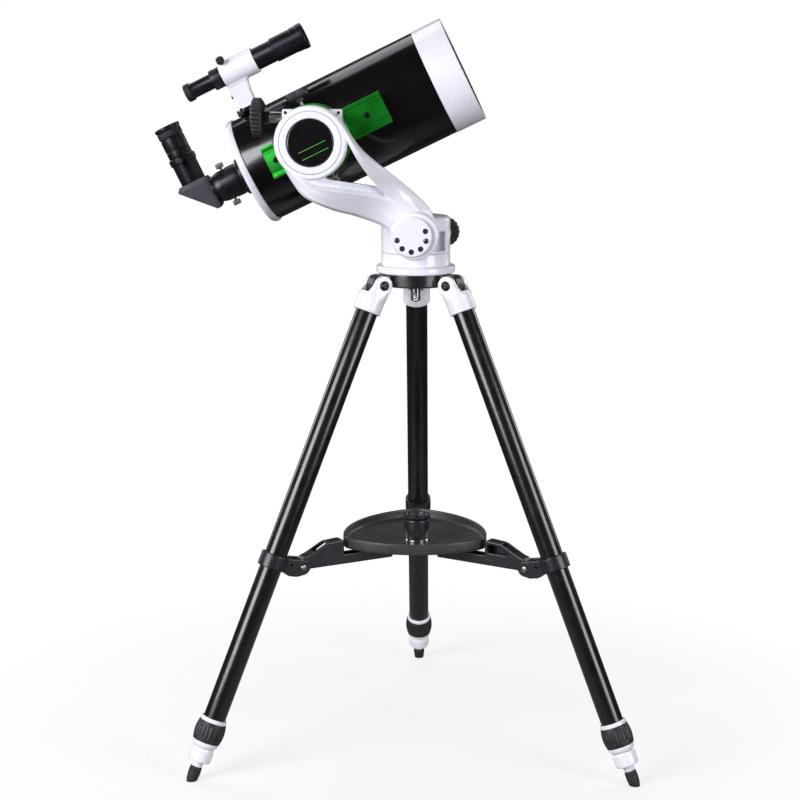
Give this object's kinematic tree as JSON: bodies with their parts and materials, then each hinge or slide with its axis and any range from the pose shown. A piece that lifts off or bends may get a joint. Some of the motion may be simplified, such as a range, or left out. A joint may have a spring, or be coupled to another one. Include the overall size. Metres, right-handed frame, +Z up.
{
  "type": "maksutov telescope",
  "caption": "Maksutov telescope on a one-armed alt-azimuth mount with a folding tripod, spreader and accessory tray; finder, diagonal and eyepiece fitted.",
  "frame": {"origin": "middle of the footprint on the floor, directly under the middle of the object's bounding box", "axes": "+Z up; +X towards the telescope's sky end as seen from the arm's side; -Y faces the viewer, on the arm's side"},
  "size_m": [0.6516, 0.5322, 0.998],
  "materials": {
    "white_paint": "gloss",
    "black_tube_paint": "gloss",
    "satin_black_paint": "satin",
    "black_anodised": "satin",
    "green_anodised": "satin",
    "black_plastic": "satin",
    "gloss_black_plastic": "gloss",
    "chrome": "polished",
    "black_rubber": "matte",
    "lens_glass": "polished",
    "mirror_coating": "polished",
    "blackened_steel": "satin"
  },
  "bodies": {
    "tripod": {"tripod_hub": "satin_black_paint", "mount_base": "white_paint", "hinge_bolt_rear": "blackened_steel", "hinge_bolt_left": "blackened_steel", "hinge_bolt_right": "blackened_steel"},
    "centre_bolt": {"centre_bolt": "chrome"},
    "tray": {"accessory_tray": "satin_black_paint"},
    "spare_eyepiece": {"spare_eyepiece": "black_anodised"},
    "azimuth_head": {"azimuth_head": "white_paint"},
    "azimuth_knob": {"azimuth_knob": "black_plastic"},
    "arm": {"arm": "white_paint", "pivot_disc": "white_paint", "altitude_housing": "white_paint", "altitude_cap": "white_paint", "cap_badge": "gloss_black_plastic"},
    "altitude_knob": {"altitude_knob": "black_plastic", "altitude_shaft": "chrome"},
    "saddle": {"saddle": "black_anodised", "altitude_disc": "green_anodised"},
    "saddle_knob": {"saddle_knob": "black_plastic"},
    "saddle_screw": {"saddle_screw": "chrome"},
    "telescope": {"optical_tube": "black_tube_paint", "front_ring": "white_paint", "corrector_lens": "lens_glass", "rear_cell": "white_paint", "visual_back": "black_anodised", "adapter_ring": "black_anodised", "dovetail_bar": "green_anodised", "finder_shoe": "black_plastic", "finder_bracket": "white_paint"},
    "mirror": {"primary_mirror": "mirror_coating"},
    "focus_knob": {"focus_knob": "black_plastic"},
    "adapter_screw_upper": {"adapter_screw_upper": "chrome"},
    "adapter_screw_lower": {"adapter_screw_lower": "chrome"},
    "diagonal": {"diagonal": "satin_black_paint"},
    "diagonal_screw": {"diagonal_screw": "black_plastic"},
    "eyepiece": {"eyepiece": "black_anodised"},
    "finder": {"finder_tube": "black_anodised"},
    "finder_screw": {"finder_screw": "black_plastic"},
    "leg_rear": {"leg_socket_rear": "white_paint", "leg_tube_rear": "black_tube_paint", "spreader_clamp_rear": "black_plastic"},
    "twist_lock_rear": {"twist_lock_rear": "black_plastic"},
    "foot_rear": {"leg_foot_rear": "white_paint", "rubber_tip_rear": "black_rubber"},
    "spreader_rear": {"spreader_arm_rear": "black_plastic"},
    "leg_left": {"leg_socket_left": "white_paint", "leg_tube_left": "black_tube_paint", "spreader_clamp_left": "black_plastic"},
    "twist_lock_left": {"twist_lock_left": "black_plastic"},
    "foot_left": {"leg_foot_left": "white_paint", "rubber_tip_left": "black_rubber"},
    "spreader_left": {"spreader_arm_left": "black_plastic"},
    "leg_right": {"leg_socket_right": "white_paint", "leg_tube_right": "black_tube_paint", "spreader_clamp_right": "black_plastic"},
    "twist_lock_right": {"twist_lock_right": "black_plastic"},
    "foot_right": {"leg_foot_right": "white_paint", "rubber_tip_right": "black_rubber"},
    "spreader_right": {"spreader_arm_right": "black_plastic"}
  },
  "joints": [
    {"name": "leg_rear_fold", "type": "hinge", "parent": "tripod", "child": "leg_rear", "pos_m": [0.0287, -0.02371, 0.6485], "axis": [-0.9998, 0.0192, 0], "range_deg": [0, 8]},
    {"name": "twist_lock_rear_turn", "type": "hinge", "parent": "leg_rear", "child": "twist_lock_rear", "pos_m": [0.03347, 0.22491, 0.08055], "axis": [-0.0076, -0.398, 0.9173], "range_deg": [0, 120]},
    {"name": "foot_rear_slide", "type": "slide", "parent": "leg_rear", "child": "foot_rear", "axis": [0.0076, 0.398, -0.9173], "range_m": [0, 0.4]},
    {"name": "spreader_rear_swing", "type": "hinge", "parent": "leg_rear", "child": "spreader_rear", "pos_m": [0.03102, 0.09685, 0.2747], "axis": [-0.9998, 0.0192, 0], "range_deg": [0, 40.5]},
    {"name": "leg_left_fold", "type": "hinge", "parent": "tripod", "child": "leg_left", "pos_m": [-0.02256, -0.10869, 0.6485], "axis": [0.4833, -0.8755, 0], "range_deg": [0, 8]},
    {"name": "twist_lock_left_turn", "type": "hinge", "parent": "leg_left", "child": "twist_lock_left", "pos_m": [-0.24026, -0.22887, 0.08055], "axis": [0.3485, 0.1924, 0.9173], "range_deg": [0, 120]},
    {"name": "foot_left_slide", "type": "slide", "parent": "leg_left", "child": "foot_left", "axis": [-0.3485, -0.1924, -0.9173], "range_m": [0, 0.4]},
    {"name": "spreader_left_swing", "type": "hinge", "parent": "leg_left", "child": "spreader_left", "pos_m": [-0.12813, -0.16697, 0.2747], "axis": [0.4833, -0.8755, 0], "range_deg": [0, 40.5]},
    {"name": "leg_right_fold", "type": "hinge", "parent": "tripod", "child": "leg_right", "pos_m": [0.07666, -0.1106, 0.6485], "axis": [0.5165, 0.8563, 0], "range_deg": [0, 8]},
    {"name": "twist_lock_right_turn", "type": "hinge", "parent": "leg_right", "child": "twist_lock_right", "pos_m": [0.28958, -0.23904, 0.08055], "axis": [-0.3409, 0.2056, 0.9173], "range_deg": [0, 120]},
    {"name": "foot_right_slide", "type": "slide", "parent": "leg_right", "child": "foot_right", "axis": [0.3409, -0.2056, -0.9173], "range_m": [0, 0.4]},
    {"name": "spreader_right_swing", "type": "hinge", "parent": "leg_right", "child": "spreader_right", "pos_m": [0.17991, -0.17288, 0.2747], "axis": [0.5165, 0.8563, 0], "range_deg": [0, 40.5]},
    {"name": "centre_bolt_turn", "type": "hinge", "parent": "tripod", "child": "centre_bolt", "pos_m": [0.0276, -0.081, 0.65], "axis": [0, 0, 1], "continuous": true},
    {"name": "tray_rise", "type": "slide", "parent": "tripod", "child": "tray", "axis": [0, 0, 1], "range_m": [0, 0.1029]},
    {"name": "spare_eyepiece_lift", "type": "slide", "parent": "tray", "child": "spare_eyepiece", "axis": [0, 0, 1], "range_m": [0, 0.06]},
    {"name": "azimuth_turn", "type": "hinge", "parent": "tripod", "child": "azimuth_head", "pos_m": [0.0276, -0.081, 0.69], "axis": [0, 0, 1], "continuous": true},
    {"name": "azimuth_knob_turn", "type": "hinge", "parent": "azimuth_head", "child": "azimuth_knob", "pos_m": [0.06736, -0.02775, 0.712], "axis": [0.0454, 0.999, 0], "continuous": true},
    {"name": "arm_tilt", "type": "hinge", "parent": "azimuth_head", "child": "arm", "pos_m": [0.02311, -0.14686, 0.7175], "axis": [0.0454, 0.999, 0], "range_deg": [0, 38]},
    {"name": "altitude_knob_turn", "type": "hinge", "parent": "arm", "child": "altitude_knob", "pos_m": [-0.16477, -0.17297, 0.872], "axis": [0.999, -0.0454, 0], "continuous": true},
    {"name": "altitude_turn", "type": "hinge", "parent": "arm", "child": "saddle", "pos_m": [-0.10435, -0.1651, 0.841], "axis": [-0.0454, -0.999, 0], "range_deg": [-33, 64]},
    {"name": "saddle_knob_turn", "type": "hinge", "parent": "saddle", "child": "saddle_knob", "pos_m": [-0.12072, -0.14394, 0.88817], "axis": [-0.4359, 0.0198, 0.8998], "continuous": true},
    {"name": "saddle_screw_turn", "type": "hinge", "parent": "saddle", "child": "saddle_screw", "pos_m": [-0.08073, -0.14575, 0.79645], "axis": [-0.4359, 0.0198, 0.8998], "continuous": true},
    {"name": "tube_slide", "type": "slide", "parent": "saddle", "child": "telescope", "axis": [0.8989, -0.0408, 0.4363], "range_m": [-0.03, 0.03]},
    {"name": "focus_knob_turn", "type": "hinge", "parent": "telescope", "child": "focus_knob", "pos_m": [-0.21004, -0.01315, 0.78646], "axis": [0.8989, -0.0408, 0.4363], "range_deg": [-1800, 1800]},
    {"name": "mirror_travel", "type": "slide", "parent": "telescope", "child": "mirror", "axis": [0.8989, -0.0408, 0.4363], "range_m": [-0.0045, 0.0045]},
    {"name": "adapter_screw_upper_turn", "type": "hinge", "parent": "telescope", "child": "adapter_screw_upper", "pos_m": [-0.23781, -0.05693, 0.80175], "axis": [-0.4359, 0.0198, 0.8998], "continuous": true},
    {"name": "adapter_screw_lower_turn", "type": "hinge", "parent": "telescope", "child": "adapter_screw_lower", "pos_m": [-0.21602, -0.05792, 0.75677], "axis": [0.4359, -0.0198, -0.8998], "continuous": true},
    {"name": "diagonal_turn", "type": "hinge", "parent": "telescope", "child": "diagonal", "pos_m": [-0.23455, -0.05708, 0.77555], "axis": [0.8989, -0.0408, 0.4363], "range_deg": [-90, 90]},
    {"name": "diagonal_screw_turn", "type": "hinge", "parent": "diagonal", "child": "diagonal_screw", "pos_m": [-0.28905, -0.07863, 0.81131], "axis": [-0.0454, -0.999, 0], "continuous": true},
    {"name": "eyepiece_slide", "type": "slide", "parent": "diagonal", "child": "eyepiece", "axis": [-0.4359, 0.0198, 0.8998], "range_m": [0, 0.026]},
    {"name": "finder_align", "type": "hinge", "parent": "telescope", "child": "finder", "pos_m": [-0.20949, -0.05822, 0.93397], "axis": [0.0454, 0.999, 0], "range_deg": [-1.2, 1.2]},
    {"name": "finder_screw_turn", "type": "hinge", "parent": "telescope", "child": "finder_screw", "pos_m": [-0.23358, -0.07321, 0.94392], "axis": [-0.3631, -0.627, 0.6893], "continuous": true}
  ],
  "couplings": [
    {"joint": "leg_rear_fold", "follows": "leg_left_fold", "ratio": 1},
    {"joint": "spreader_rear_swing", "follows": "leg_left_fold", "ratio": 5.06},
    {"joint": "spreader_left_swing", "follows": "leg_left_fold", "ratio": 5.06},
    {"joint": "leg_right_fold", "follows": "leg_left_fold", "ratio": 1},
    {"joint": "spreader_right_swing", "follows": "leg_left_fold", "ratio": 5.06},
    {"joint": "tray_rise", "follows": "leg_left_fold", "m_per_rad": 0.7363}
  ]
}
